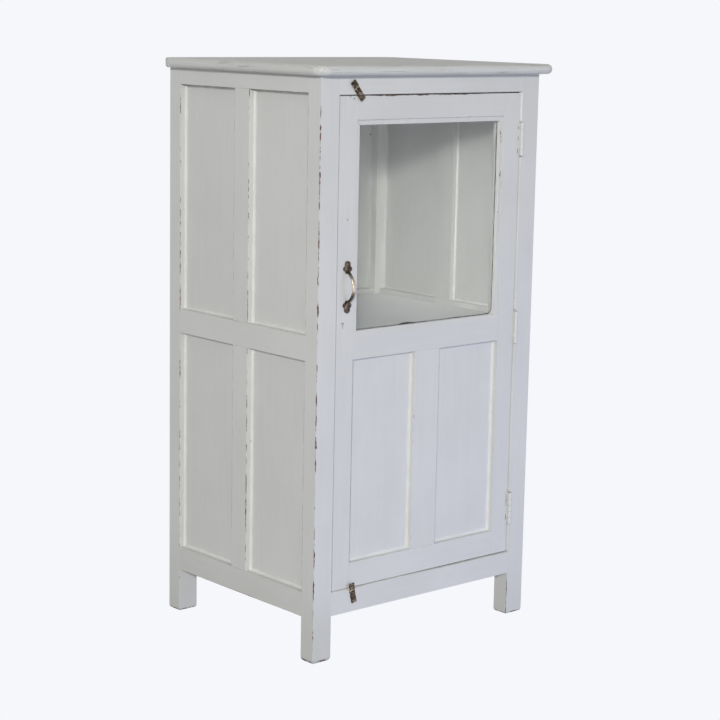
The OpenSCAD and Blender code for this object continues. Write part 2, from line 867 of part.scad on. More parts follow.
// lean turns the strip about its screw, its upper end towards -X
module button_at(x, z, lean, length) {
  translate([x, yf - button_gap, z]) rotate([0, -lean, 0]) rotate([90, 0, 0]) button_strip(length);
}

module top_turn_button() color(bronze)
  button_at(top_button_x, top_button_z, top_button_lean, top_button_l);
module bottom_turn_button() color(bronze)
  button_at(bottom_button_x, bottom_button_z, bottom_button_lean, bottom_button_l);

// Domed screw that a button turns on
module button_screw_at(x, z, c = 0) {
  head_y = yf - button_gap - button_t - 0.3;
  head_r = 4.3;
  dome = 2.2;
  ball = (head_r * head_r + dome * dome) / (2 * dome);
  translate([x, yf, z]) rotate([90, 0, 0]) {
    translate([0, 0, -20]) cylinder(r = button_pin_r + c, h = 20 + yf - head_y);
    if (c == 0) difference() {
      intersection() {
        translate([0, 0, yf - head_y]) cylinder(r = head_r, h = dome);
        translate([0, 0, yf - head_y + dome - ball]) sphere(r = ball);
      }
      translate([-head_r, -0.5, yf - head_y + dome - 1]) cube([2 * head_r, 1, 2]);
    }
  }
}

module turn_button_screws() color(bronze) {
  button_screw_at(top_button_x, top_button_z);
  button_screw_at(bottom_button_x, bottom_button_z);
}

post_front_left();
post_front_right();
post_rear_left();
post_rear_right();
top_board();
front_top_rail();
front_bottom_rail();
rear_top_rail();
rear_mid_rail();
rear_bottom_rail();
left_top_rail();
left_mid_rail();
left_bottom_rail();
right_top_rail();
right_mid_rail();
right_bottom_rail();
left_muntins();
right_muntins();
rear_muntins();
left_upper_panels();
left_lower_panels();
right_upper_panels();
right_lower_panels();
rear_upper_panels();
rear_lower_panels();
shelf();
floor_board();
board_bearers();
bearer_screws();
top_cleats();
top_screws();
door_stop();
hinge_frame_leaves();
hinge_pins();
hinge_frame_screws();
strike_plate();
strike_screws();
turn_button_screws();
door_lock_stile();
door_hinge_stile();
door_top_rail();
door_mid_rail();
door_bottom_rail();
door_muntin();
door_left_panel();
door_right_panel();
door_glass();
front_glazing_beads();
rear_glazing_beads();
hinge_door_leaves();
hinge_door_screws();
handle();
handle_screws();
lock_case();
lock_screws();
lock_bolt();
top_turn_button();
bottom_turn_button();
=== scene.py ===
import math

import bmesh
import bpy
from mathutils import Matrix, Vector, noise


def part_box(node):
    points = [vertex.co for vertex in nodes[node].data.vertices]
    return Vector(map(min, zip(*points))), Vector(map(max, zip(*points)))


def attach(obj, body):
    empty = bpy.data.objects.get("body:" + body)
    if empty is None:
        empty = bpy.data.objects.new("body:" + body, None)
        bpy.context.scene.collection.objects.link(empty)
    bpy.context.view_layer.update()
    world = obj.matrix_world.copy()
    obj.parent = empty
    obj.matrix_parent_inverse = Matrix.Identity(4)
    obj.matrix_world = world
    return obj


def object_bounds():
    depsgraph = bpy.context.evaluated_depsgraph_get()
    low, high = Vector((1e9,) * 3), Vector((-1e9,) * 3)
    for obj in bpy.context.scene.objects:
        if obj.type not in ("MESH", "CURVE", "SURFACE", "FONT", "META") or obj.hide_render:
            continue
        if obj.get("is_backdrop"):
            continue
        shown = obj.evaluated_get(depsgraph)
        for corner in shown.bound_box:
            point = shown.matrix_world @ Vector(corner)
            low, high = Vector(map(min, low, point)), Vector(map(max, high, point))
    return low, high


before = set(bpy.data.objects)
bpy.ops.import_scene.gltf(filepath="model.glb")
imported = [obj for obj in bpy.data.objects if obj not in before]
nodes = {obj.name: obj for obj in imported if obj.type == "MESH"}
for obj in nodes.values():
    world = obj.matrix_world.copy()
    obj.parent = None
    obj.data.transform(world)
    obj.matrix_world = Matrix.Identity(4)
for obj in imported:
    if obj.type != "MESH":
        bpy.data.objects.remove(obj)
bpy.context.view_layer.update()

scene = bpy.context.scene
MM = 0.001


# ---------------------------------------------------------------- node graphs

class Graph:
    """A material's node tree, with short calls for the nodes used here."""

    def __init__(self, name):
        self.material = bpy.data.materials.new(name)
        self.material.use_nodes = True
        self.tree = self.material.node_tree
        self.tree.nodes.clear()
        self.out = self.tree.nodes.new("ShaderNodeOutputMaterial")
        self.coord = self.tree.nodes.new("ShaderNodeTexCoord")

    def add(self, kind, links=(), **settings):
        node = self.tree.nodes.new(kind)
        for key, value in settings.items():
            setattr(node, key, value)
        for socket, source in dict(links).items():
            if hasattr(source, "is_output"):
                self.tree.links.new(source, node.inputs[socket])
            else:
                node.inputs[socket].default_value = source
        return node

    def stretch(self, scale, offset=(0, 0, 0)):
        """The piece's own coordinates, in metres, scaled per axis."""
        return self.add("ShaderNodeMapping", {
            "Vector": self.coord.outputs["Object"], "Scale": scale,
            "Location": offset}).outputs[0]

    def noise(self, vector, scale, detail=3.0, rough=0.5, warp=0.0):
        return self.add("ShaderNodeTexNoise", {
            "Vector": vector, "Scale": scale, "Detail": detail,
            "Roughness": rough, "Distortion": warp}).outputs["Fac"]

    def math(self, operation, a, b=0.0, clamp=False):
        return self.add("ShaderNodeMath", {0: a, 1: b}, operation=operation,
                        use_clamp=clamp).outputs[0]

    def remap(self, value, low, high, to_low=0.0, to_high=1.0, smooth=True):
        return self.add("ShaderNodeMapRange", {
            "Value": value, "From Min": low, "From Max": high,
            "To Min": to_low, "To Max": to_high},
            interpolation_type="SMOOTHSTEP" if smooth else "LINEAR").outputs[0]

    def blend(self, factor, a, b):
        node = self.add("ShaderNodeMix", data_type="RGBA")
        for socket, source in ((0, factor), (6, a), (7, b)):
            if hasattr(source, "is_output"):
                self.tree.links.new(source, node.inputs[socket])
            elif socket == 0:
                node.inputs[0].default_value = source
            else:
                node.inputs[socket].default_value = (*source, 1.0)
        return node.outputs[2]

    def times(self, factor, colour, tone):
        """The colour multiplied by a tone where the factor is 1."""
        tone = tone if hasattr(tone, "is_output") else (*tone, 1.0)
        product = self.add("ShaderNodeMix", {0: 1.0, 6: colour, 7: tone},
                           data_type="RGBA", blend_type="MULTIPLY").outputs[2]
        return self.blend(factor, colour, product)

    def split(self, output):
        """The x, y and z of one of the texture coordinates."""
        return self.add("ShaderNodeSeparateXYZ",
                        {0: self.coord.outputs[output]}).outputs

    def edge(self):
        """How far the surface is turned off the three axes: 0 on flat faces,
        up to about 0.3 on the eased edges between them."""
        x, y, z = (self.math("ABSOLUTE", s) for s in self.split("Normal"))
        top = self.math("MAXIMUM", self.math("MAXIMUM", x, y), z)
        return self.math("SUBTRACT", 1.0, top)

    def bump(self, height, strength, distance, normal=None):
        links = {"Height": height, "Strength": strength, "Distance": distance}
        if normal is not None:
            links["Normal"] = normal
        return self.add("ShaderNodeBump", links).outputs[0]

    def surface(self, **inputs):
        shader = self.add("ShaderNodeBsdfPrincipled")
        for name, source in inputs.items():
            socket = shader.inputs[name.replace("_", " ")]
            if hasattr(source, "is_output"):
                self.tree.links.new(source, socket)
            elif isinstance(source, tuple) and len(source) == 3:
                socket.default_value = (*source, 1.0)
            else:
                socket.default_value = source
        self.tree.links.new(shader.outputs[0], self.out.inputs[0])
        return shader


ALONG = 0.045                      # how far marks are drawn out along the grain
GRAIN = {"x": (ALONG, 1, 1), "y": (1, ALONG, 1), "z": (1, 1, ALONG)}

side_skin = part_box("right_upper_panels")
rear_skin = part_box("rear_upper_panels")
door_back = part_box("door_top_rail")[1].y
floor_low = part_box("floor_board")[0].z
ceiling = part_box("top_board")[0].z


PAINT = (0.695, 0.698, 0.686)
PAINT_DARK = (0.655, 0.657, 0.642)
BARE = (0.055, 0.030, 0.022)       # old bare wood
PRIMER = (0.190, 0.062, 0.045)     # red-brown undercoat
SCUFF_GREY = (0.47, 0.47, 0.45)
SCRATCH_GREY = (0.30, 0.29, 0.27)

# Tones that the paint is multiplied by: the inside is darker and greyer,
# with painted shade that is darkest near the front and lightest at the back,
# and the legs get darker towards the floor.
INSIDE_TONE = (0.80, 0.802, 0.792)
BACK_TONE = (0.94, 0.945, 0.925)
SHELF_TONE = (0.95, 0.965, 0.965)
FLOOR_DARKENING = (0.90, 0.90, 0.89)
DARKENING_TOP = 0.26
# depths and factors of the painted shade inside, darkest at the front
CUPBOARD_DEPTH = (-0.19, 0.17)
DEPTH_FACTORS = (0.79, 1.07)
EASED_EDGE = (0.008, 0.03)         # values of Graph.edge() on a bevelled edge


def inside_cupboard(g):
    """1 on the faces that look into the cupboard, 0 outside it."""
    x, y, z = g.split("Object")
    half = (side_skin[0].x + side_skin[1].x) / 2
    middle_of_back = (rear_skin[0].y + rear_skin[1].y) / 2
    mask = None
    for low, value, high in ((-half, x, half),
                             (door_back + 0.5 * MM, y, middle_of_back),
                             (floor_low + MM, z, ceiling + MM)):
        test = g.math("MULTIPLY", g.math("GREATER_THAN", value, low),
                      g.math("LESS_THAN", value, high))
        mask = test if mask is None else g.math("MULTIPLY", mask, test)
    return mask


def chipped(g, shift, along, a, b, low, high, often, reach):
    """Chips along one arris that runs along an axis, at a and b on the other
    two axes. They start where the noise passes 'often' and reach inwards."""
    x, y, z = g.split("Object")
    run, u, v = {"x": (x, y, z), "y": (y, x, z), "z": (z, x, y)}[along]
    away = g.math("MAXIMUM", g.math("ABSOLUTE", g.math("SUBTRACT", u, a)),
                  g.math("ABSOLUTE", g.math("SUBTRACT", v, b)))
    slow = {"x": (0.42, 1, 1), "y": (1, 0.42, 1), "z": (1, 1, 0.42)}[along]
    chip = g.noise(g.stretch(slow, shift), 90.0, 8.0, 0.74)
    where = g.noise(g.stretch((1, 1, 1), shift), 7.0, 2.0, 0.5)
    limit = g.remap(g.math("ADD", chip, g.math("MULTIPLY", where, 0.35)),
                    often, often + 0.22, 0.0, reach, False)
    inside = g.remap(g.math("SUBTRACT", limit, away), 0.0, 0.0004)
    band = g.math("MULTIPLY", g.remap(run, low, low + 0.03),
                  g.remap(run, high, high - 0.03))
    return g.math("MULTIPLY", inside, band)


def painted(name, grain="z", wear=0.60, arrises=(), tone=1.0, offset=0.0,
            foot=False, scratches=0.0, inside=INSIDE_TONE, rubbed=True):
    """Chalky white paint brushed along the grain, worn through on the edges.
    A lower wear value shows more bare wood. arrises lists the corners that are
    chipped harder."""
    g = Graph(name)
    shift = (offset, offset * 1.7, offset * 0.6)
    along = g.stretch(GRAIN[grain], shift)
    plain = g.stretch((1, 1, 1), shift)
    bristle = g.noise(along, 520.0, 2.0, 0.6)
    fibre = g.noise(along, 120.0, 4.0, 0.55, 0.4)
    cloud = g.noise(plain, 4.5, 3.0, 0.55)
    mottle = g.noise(plain, 38.0, 4.0, 0.6)
    tint = g.math("ADD", g.math("MULTIPLY", cloud, 0.55),
                  g.math("ADD", g.math("MULTIPLY", fibre, 0.3),
                         g.math("MULTIPLY", mottle, 0.15)))
    light = tuple(c * tone for c in PAINT)
    dark = tuple(c * tone for c in PAINT_DARK)
    colour = g.blend(g.remap(tint, 0.36, 0.64), dark, light)
    # a few fine dark fibres show through the coat
    streak = g.noise(g.stretch(tuple(c * c if c < 1 else c for c in GRAIN[grain]),
                               shift), 260.0, 3.0, 0.7, 0.6)
    colour = g.blend(g.math("MULTIPLY", g.remap(streak, 0.70, 0.80), 0.10),
                     colour, tuple(c * 0.62 for c in dark))
    if scratches:
        # marks run along each edge of the board
        facing = g.math("ABSOLUTE", g.split("Normal")[0])
        along_x = g.noise(g.stretch((0.02, 1, 1), shift), 330.0, 4.0, 0.65, 0.3)
        along_y = g.noise(g.stretch((1, 0.02, 1), shift), 330.0, 4.0, 0.65, 0.3)
        side = g.math("GREATER_THAN", facing, 0.5)
        scuff = g.math("ADD", g.math("MULTIPLY", along_y, side), g.math(
            "MULTIPLY", along_x, g.math("SUBTRACT", 1.0, side)))
        patch = g.noise(plain, 14.0, 4.0, 0.65)
        colour = g.blend(g.math("MULTIPLY", g.remap(scuff, 0.40, 0.66), 0.20),
                         colour, SCUFF_GREY)
        marks = g.math("MULTIPLY", g.remap(scuff, 0.53, 0.64),
                       g.remap(patch, 0.46, 0.60))
        colour = g.blend(g.math("MULTIPLY", marks, scratches), colour,
                         SCRATCH_GREY)
    # inside the cupboard the paint is darker and greyer, and painted shade darkens it
    # towards the front
    if inside:
        front_tone, deep_tone = (tuple(c * f for c in inside)
                                 for f in DEPTH_FACTORS)
        inside_tone_and_shade = g.blend(g.remap(g.split("Object")[1], *CUPBOARD_DEPTH, smooth=False),
                       front_tone, deep_tone)
        colour = g.times(inside_cupboard(g), colour, inside_tone_and_shade)
    # wear on the eased edges
    ragged = g.noise(g.stretch(tuple(0.35 if c < 1 else 1 for c in GRAIN[grain]),
                               shift), 62.0, 7.0, 0.68)
    eased = g.remap(g.edge(), *EASED_EDGE)
    worn = g.math("MULTIPLY", eased, g.remap(ragged, wear, wear + 0.025))
    # the paint gets darker towards the floor
    if foot:
        colour = g.times(g.remap(g.split("Object")[2], DARKENING_TOP, 0.0), colour,
                         FLOOR_DARKENING)
    if rubbed:
        # the arrises that look down are rubbed brown
        lower = g.math("MULTIPLY", eased, g.remap(g.split("Normal")[2], -0.25, -0.45))
        worn = g.math("MAXIMUM", worn, g.math(
            "MULTIPLY", lower, g.remap(ragged, wear - 0.16, wear - 0.06)))
    if foot and grain == "z":
        # a faint scuffed line where the legs meet the floor
        scuffed = g.math("MULTIPLY", g.noise(plain, 60.0, 6.0, 0.7), 0.005)
        low_part = g.math("SUBTRACT", g.split("Object")[2], scuffed)
        worn = g.math("MAXIMUM", worn, g.math(
            "MULTIPLY", g.remap(low_part, 0.0006, -0.0014), 0.45))
    for arris in arrises:
        worn = g.math("MAXIMUM", worn, chipped(g, shift, *arris))
    under = g.blend(g.remap(g.noise(plain, 150.0, 4.0, 0.6), 0.46, 0.56),
                    BARE, PRIMER)
    colour = g.blend(worn, colour, under)
    height = g.math("ADD", g.math("MULTIPLY", bristle, 0.45),
                    g.math("ADD", g.math("MULTIPLY", fibre, 0.40),
                           g.math("MULTIPLY", mottle, 0.30)))
    height = g.math("SUBTRACT", height, g.math("MULTIPLY", worn, 0.8))
    rough = g.remap(mottle, 0.3, 0.7, 0.50, 0.62)
    g.surface(Base_Color=colour, Roughness=g.math(
        "ADD", rough, g.math("MULTIPLY", worn, 0.2)), Specular_IOR_Level=0.38,
        Normal=g.bump(height, 0.30, 0.0005))
    return g.material


def caulk_paint(name, tone_by=1.0):
    """Thick soft paint that has pooled in the corners, whiter and smoother."""
    g = Graph(name)
    plain = g.stretch((1, 1, 1))
    lump = g.noise(plain, 160.0, 4.0, 0.55)
    tone = g.noise(plain, 22.0, 3.0, 0.5)
    colour = g.blend(g.remap(tone, 0.35, 0.65),
                     tuple(c * tone_by for c in (0.700, 0.700, 0.680)),
                     tuple(c * tone_by for c in (0.745, 0.745, 0.722)))
    crack = g.noise(g.stretch((1, 1, 0.3)), 75.0, 8.0, 0.75)
    colour = g.blend(g.remap(crack, 0.665, 0.70), colour, PRIMER)
    g.surface(Base_Color=colour, Roughness=0.45, Specular_IOR_Level=0.45,
              Normal=g.bump(lump, 0.35, 0.0006))
    return g.material


def bronze(name, dark=0.0, grip_glint=None, glint_line=None):
    """Old bronze: dark brown patina, warm bare metal where hands rub it, and painted
    highlights.
    grip_glint is (height, reach) of the part that is rubbed bright and also painted as a
    highlight.
    glint_line is (x, z, lean) of a painted highlight line across a button that leans so
    much."""
    g = Graph(name)
    plain = g.stretch((1, 1, 1))
    patina = g.noise(plain, 210.0, 5.0, 0.6)
    spots = g.noise(plain, 620.0, 3.0, 0.6)
    rub = g.noise(plain, 70.0, 3.0, 0.5)
    colour = g.blend(g.remap(patina, 0.40, 0.64), (0.030, 0.021, 0.016),
                     (0.118, 0.082, 0.055))
    bare_and_glint = g.math("MULTIPLY", g.remap(rub, 0.54, 0.70), 0.35 - dark)
    # the rubbed middle of the handle is lighter, as bare metal and as a painted highlight
    if grip_glint:
        z = g.split("Object")[2]
        middle = g.remap(g.math("ABSOLUTE", g.math("SUBTRACT", z, grip_glint[0])),
                         grip_glint[1], grip_glint[1] * 0.35)
        bare_and_glint = g.math("MAXIMUM", bare_and_glint, g.math("MULTIPLY", middle, g.remap(
            patina, 0.30, 0.55, 0.45, 0.95)))
    # a painted highlight line across the button's step, and lighter worn patches
    if glint_line:
        x, _, z = g.split("Object")
        lean = math.radians(glint_line[2])
        along = g.math("SUBTRACT", g.math(
            "MULTIPLY", g.math("SUBTRACT", x, glint_line[0]), -math.sin(lean)), g.math(
            "MULTIPLY", g.math("SUBTRACT", z, glint_line[1]), -math.cos(lean)))
        ragged = g.math("MULTIPLY", g.math("SUBTRACT", patina, 0.5), 0.004)
        away = g.math("ABSOLUTE", g.math("ADD", along, ragged))
        bare_and_glint = g.math("MAXIMUM", bare_and_glint, g.remap(away, 0.0016, 0.0007))
        bare_and_glint = g.math("MAXIMUM", bare_and_glint, g.math("MULTIPLY", g.remap(
            g.noise(plain, 150.0, 3.0, 0.6), 0.50, 0.62), 0.34))
    colour = g.blend(bare_and_glint, colour, (0.70, 0.60, 0.46))
    colour = g.blend(g.math("MULTIPLY", g.remap(spots, 0.60, 0.70), 0.6),
                     colour, (0.018, 0.012, 0.010))
    g.surface(Base_Color=colour, Metallic=0.9,
              Roughness=g.remap(patina, 0.3, 0.7, 0.42, 0.26 + dark * 0.4),
              Normal=g.bump(g.math("ADD", patina, g.math(
                  "MULTIPLY", spots, 0.5)), 0.35, 0.0004))
    return g.material


def steel(name, colour=(0.34, 0.33, 0.32), rust=0.25):
    """Plain drawn steel with patches of rust."""
    g = Graph(name)
    plain = g.stretch((1, 1, 1))
    stain = g.noise(plain, 180.0, 5.0, 0.62)
    fine = g.noise(g.stretch((1, 1, 0.1)), 900.0, 2.0, 0.5)
    tone = g.blend(g.remap(fine, 0.3, 0.7), tuple(c * 0.8 for c in colour), colour)
    tone = g.blend(g.math("MULTIPLY", g.remap(stain, 0.52, 0.68), rust),
                   tone, (0.17, 0.075, 0.035))
    g.surface(Base_Color=tone, Metallic=0.85,
              Roughness=g.remap(stain, 0.3, 0.7, 0.32, 0.52),
              Normal=g.bump(fine, 0.15, 0.0002))
    return g.material


def window_glass(name):
    """Old thin sheet glass, a little green, faintly wavy. Lamps shine through."""
    g = Graph(name)
    plain = g.stretch((1, 1, 0.6))
    wave = g.noise(plain, 9.0, 2.0, 0.5)
    smear = g.noise(g.stretch((1, 1, 0.4)), 30.0, 4.0, 0.6)
    tint = (0.905, 0.909, 0.902)
    shader = g.surface(Base_Color=tint, Transmission_Weight=1.0, IOR=1.46,
                       Roughness=g.remap(smear, 0.45, 0.75, 0.0, 0.035),
                       Normal=g.bump(wave, 0.05, 0.002))
    clear = g.add("ShaderNodeBsdfTransparent", {"Color": (*tint, 1.0)})
    path = g.add("ShaderNodeLightPath")
    mix = g.add("ShaderNodeMixShader", {0: path.outputs["Is Shadow Ray"]})
    g.tree.links.new(shader.outputs[0], mix.inputs[1])
    g.tree.links.new(clear.outputs[0], mix.inputs[2])
    g.tree.links.new(mix.outputs[0], g.out.inputs[0])
    return g.material


def putty(name, colour, dark, amount):
    """Lumpy putty or packed dirt. A lower amount shows more of the dark tone."""
    g = Graph(name)
    plain = g.stretch((1, 1, 1))
    lump = g.noise(plain, 190.0, 5.0, 0.62)
    dirt = g.noise(g.stretch((1, 1, 0.5)), 70.0, 6.0, 0.68)
    tone = g.blend(g.remap(dirt, amount, amount + 0.10), colour, dark)
    g.surface(Base_Color=tone, Roughness=0.72, Specular_IOR_Level=0.3,
              Normal=g.bump(lump, 0.5, 0.0008))
    return g.material


# ---------------------------------------------------------------- CAD finishes

def dress(names, material):
    """Gives CAD nodes their material."""
    for name in names.split():
        ob = nodes[name]
        ob.data.materials.clear()
        ob.data.materials.append(material)


def ease(names, width, segments=3):
    """Rounds the sharp edges of CAD members by modifiers alone, and keeps the
    shading of their large flat faces even."""
    for name in names.split():
        ob = nodes[name]
        weld = ob.modifiers.new("weld", "WELD")
        weld.merge_threshold = 0.01 * MM
        flat = ob.modifiers.new("flat", "DECIMATE")
        flat.decimate_type = "DISSOLVE"
        flat.angle_limit = math.radians(0.6)
        bevel = ob.modifiers.new("ease", "BEVEL")
        bevel.width = width
        bevel.segments = segments
        bevel.limit_method = "ANGLE"
        bevel.angle_limit = math.radians(40)
        bevel.use_clamp_overlap = True
        bevel.harden_normals = False
        even = ob.modifiers.new("even", "WEIGHTED_NORMAL")
        even.weight = 100
        even.keep_sharp = True


post_low, post_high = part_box("post_front_left")
SIDES_Y = ("left_top_rail left_mid_rail "
           "right_top_rail right_mid_rail right_bottom_rail")
ACROSS = "front_top_rail front_bottom_rail"
REAR_ACROSS = "rear_top_rail rear_mid_rail rear_bottom_rail"
REAR_UPRIGHT = "post_rear_right rear_muntins"
PANELS = ("left_upper_panels left_lower_panels right_upper_panels "
          "right_lower_panels")
REAR_PANELS = "rear_upper_panels rear_lower_panels"
DOOR_UPRIGHT = "door_lock_stile door_hinge_stile door_muntin"
DOOR_ACROSS = "door_top_rail door_mid_rail door_bottom_rail"
DOOR_PANELS = "door_left_panel door_right_panel"
BOARDS = "shelf floor_board"

low_side, top_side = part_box("left_bottom_rail"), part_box("left_top_rail")
lower_opening = (low_side[1].z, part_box("left_mid_rail")[0].z)
upper_opening = (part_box("left_mid_rail")[1].z, top_side[0].z)


def opening_arrises(x, y, often, reach):
    """The same upright arris, beside the lower and the upper panel."""
    return [("z", x, y, z0 - 0.02, z1 + 0.02, often, reach)
            for z0, z1 in (lower_opening, upper_opening)]


side_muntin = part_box("left_muntins")
rear_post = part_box("post_rear_left")
right_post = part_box("post_front_right")
dress("post_front_left", painted("paint_front_corner", "z", 0.60, [
    ("z", post_low.x, post_low.y, 0.03, post_high.z - 0.055, 0.635, 4.4 * MM)]
    + opening_arrises(post_low.x, post_high.y, 0.50, 1.0 * MM), foot=True))
dress("left_muntins", painted("paint_left_muntins", "z", 0.60, opening_arrises(
    side_muntin[0].x, side_muntin[0].y, 0.64, 2.4 * MM) + opening_arrises(
    side_muntin[0].x, side_muntin[1].y, 0.50, 1.2 * MM), offset=0.7))
dress("post_front_right", painted("paint_right_corner", "z", 0.60, [
    ("z", right_post[0].x, right_post[0].y, -0.03, low_side[0].z + 0.01, 0.66,
     1.8 * MM)], offset=0.2, foot=True))
dress("right_muntins", painted("paint_uprights", "z", 0.60, offset=0.7, foot=True))
dress(SIDES_Y, painted("paint_side_rails", "y", 0.60, offset=1.3, foot=True))
dress("left_bottom_rail", painted("paint_low_side_rail", "y", 0.60, [
    ("y", low_side[0].x, low_side[0].z, low_side[0].y - 0.02,
     low_side[1].y + 0.02, 0.56, 1.5 * MM)], offset=1.3, foot=True))
dress(ACROSS, painted("paint_cross_rails", "x", 0.66, offset=2.1))
dress("post_rear_left", painted("paint_rear_corner", "z", 0.60, opening_arrises(
    rear_post[0].x, rear_post[0].y, 0.64, 2.2 * MM), offset=0.4, foot=True,
    inside=BACK_TONE))
dress(REAR_UPRIGHT, painted("paint_rear_uprights", "z", 0.60, offset=0.9,
                            foot=True, inside=BACK_TONE))
dress(REAR_ACROSS, painted("paint_rear_rails", "x", 0.60, offset=2.6,
                           inside=BACK_TONE))
dress(REAR_PANELS, painted("paint_rear_panels", "z", 0.70, offset=3.8, tone=0.995,
                           inside=BACK_TONE))
dress(PANELS, painted("paint_panels", "z", 0.70, offset=3.3, tone=0.995))
dress("top_board", painted("paint_top_board", "x", 0.95, offset=4.9, tone=0.985,
                           scratches=0.55, rubbed=False))
door_top_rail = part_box("door_top_rail")
panel_height = (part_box("door_bottom_rail")[1].z - 0.02,
                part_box("door_mid_rail")[0].z + 0.02)
dress(DOOR_UPRIGHT, painted("paint_door_uprights", "z", 0.59, [
    ("z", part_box(name)[1].x, door_top_rail[0].y, *panel_height, 0.42, 0.75 * MM)
    for name in ("door_lock_stile", "door_muntin")], offset=5.2, rubbed=False))
dress(DOOR_ACROSS, painted("paint_door_rails", "x", 0.60, [
    ("x", door_top_rail[0].y, door_top_rail[1].z, door_top_rail[0].x - 0.02,
     0.16, 0.60, 2.4 * MM)], offset=6.4, rubbed=False))
dress(DOOR_PANELS, painted("paint_door_panels", "z", 0.70, offset=7.7))
dress("front_glazing_beads", painted("paint_beads", "z", 0.66, offset=8.1,
                                     rubbed=False))
# the rear beads' paint is made much darker, as painted shade over the lamp light that
# falls on them through the glass
dress("rear_glazing_beads", painted("paint_rear_beads_shaded", "z", 0.66, offset=8.4,
                                    tone=0.54, rubbed=False))
# the boards' paint is made much lighter, as painted light for their flat tops that the low
# lamps barely reach
dress(BOARDS, painted("paint_boards_lightened", "x", 0.62, offset=9.6, tone=1.34,
                      inside=SHELF_TONE))
dress("board_bearers top_cleats door_stop",
      painted("paint_inside_strips", "y", 0.60, offset=10.2, tone=0.95))
dress("hinge_frame_leaves hinge_door_leaves",
      painted("paint_hinges", "z", 0.66, offset=11.4))
dress("hinge_frame_screws hinge_door_screws", steel("screw_steel"))
dress("bearer_screws top_screws lock_screws strike_screws",
      steel("hidden_screw_steel", (0.40, 0.39, 0.37), 0.4))
dress("hinge_pins", steel("pin_steel", (0.30, 0.28, 0.26), 0.5))
dress("lock_case", steel("lock_steel", (0.26, 0.25, 0.24), 0.5))
dress("lock_bolt strike_plate", steel("brass_like_steel", (0.46, 0.38, 0.24), 0.3))
pull_low, pull_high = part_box("handle")
pull_height = pull_high.z - pull_low.z
# the bow is rubbed bright in its upper middle, and that part is also a painted highlight
dress("handle", bronze("handle_bronze", 0.1, grip_glint=(
    pull_low.z + pull_height * 0.57, pull_height * 0.23)))
dress("handle_screws", bronze("screw_bronze", 0.3))
# the buttons' screws are a lighter bronze, as rubbed metal and as a painted highlight
dress("turn_button_screws", bronze("rubbed_glinting_screw_bronze", 0.0))
GLINT_LINE_OFF = 7.5 * MM                 # from the button's middle to its bright line
# each button carries a painted highlight line across its step
for name, lean in (("top_turn_button", 40.0), ("bottom_turn_button", 14.0)):
    low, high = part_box(name)
    dress(name, bronze(name + "_bronze", 0.2, glint_line=(
        (low.x + high.x) / 2 - GLINT_LINE_OFF * math.sin(math.radians(lean)),
        (low.z + high.z) / 2 + GLINT_LINE_OFF * math.cos(math.radians(lean)), lean)))
dress("door_glass", window_glass("sheet_glass"))

ease("post_front_left post_front_right post_rear_left left_muntins right_muntins "
     + REAR_UPRIGHT, 0.8 * MM)
ease(SIDES_Y + " left_bottom_rail " + ACROSS + " " + REAR_ACROSS, 0.35 * MM, 2)
ease(DOOR_UPRIGHT + " " + DOOR_ACROSS, 0.5 * MM)
ease("front_glazing_beads rear_glazing_beads door_stop " + BOARDS, 0.6 * MM, 2)
ease("top_turn_button bottom_turn_button", 0.35 * MM, 2)


# ---------------------------------------------------------------- new pieces

COVE_STEP = 7 * MM                 # between two rings of a strip
COVE_ARC = 5                       # faces across its hollow side
COVE_SINK = 0.25 * MM              # how far its back goes into the wood
OUTER_COVE = (6.5 * MM, 4.6 * MM)  # width over the panel and height up its frame
INNER_COVE = (5.0 * MM, 3.2 * MM)


def wobble(point, scale, seed):
    """A smooth value from about -1 to 1 that changes along the piece."""
    p = Vector(point) * scale + Vector((seed, seed * 0.37, -seed * 0.71))
    return noise.noise(p) * 1.6


def skin(bm, rings):
    """Closed solid from rings of points, one after another, capped at the ends."""
    rings = [[bm.verts.new(point) for point in ring] for ring in rings]
    n = len(rings[0])
    for a, b in zip(rings, rings[1:]):
        for k in range(n):
            m = (k + 1) % n
            bm.faces.new((a[k], a[m], b[m], b[k]))
    bm.faces.new(list(reversed(rings[0])))
    bm.faces.new(rings[-1])


def solid(name, bm, body, material, smooth=None):
    """A piece from the finished bmesh. smooth is the largest angle, in degrees,
    that is shaded as one surface; without it the faces stay flat."""
    bmesh.ops.recalc_face_normals(bm, faces=bm.faces)
    mesh = bpy.data.meshes.new(name)
    bm.to_mesh(mesh)
    bm.free()
    if smooth:
        for face in mesh.polygons:
            face.use_smooth = True
        mesh.set_sharp_from_angle(angle=math.radians(smooth))
    ob = bpy.data.objects.new(name, mesh)
    scene.collection.objects.link(ob)
    mesh.materials.append(material)
    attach(ob, body)


def swept(name, rings, body, material):
    """One piece of paint or putty from its rings of points."""
    bm = bmesh.new()
    skin(bm, rings)
    solid(name, bm, body, material, 60)


def cove_strip(bm, start, end, inward, out, width, height, seed):
    """One solid strip of pooled paint in the corner that runs from start to
    end. inward points over the panel and out points away from it."""
    start, end = Vector(start), Vector(end)
    inward, out = Vector(inward), Vector(out)
    run = end - start
    length = run.length
    along = run / length
    count = max(2, round(length / COVE_STEP))
    rings = []
    for i in range(count + 1):
        t = length * i / count
        here = start + along * t
        w = width * (1 + 0.28 * wobble(here, 60, seed)
                     + 0.16 * wobble(here, 260, seed))
        h = height * (1 + 0.25 * wobble(here, 75, seed + 9)
                      + 0.14 * wobble(here, 300, seed))
        section = []
        for k in range(COVE_ARC + 1):
            a = math.pi / 2 * k / COVE_ARC
            section.append((w * (1 - math.cos(a)) if k else -COVE_SINK,
                            h * (1 - math.sin(a)) if k < COVE_ARC else -COVE_SINK))
        section.append((-COVE_SINK, -COVE_SINK))
        ring = []
        for q, v in section:
            # the ends are mitred into the corners of the panel
            at = min(max(t, max(q, 0)), length - max(q, 0))
            ring.append(start + along * at + inward * q + out * v)
        rings.append(ring)
    skin(bm, rings)


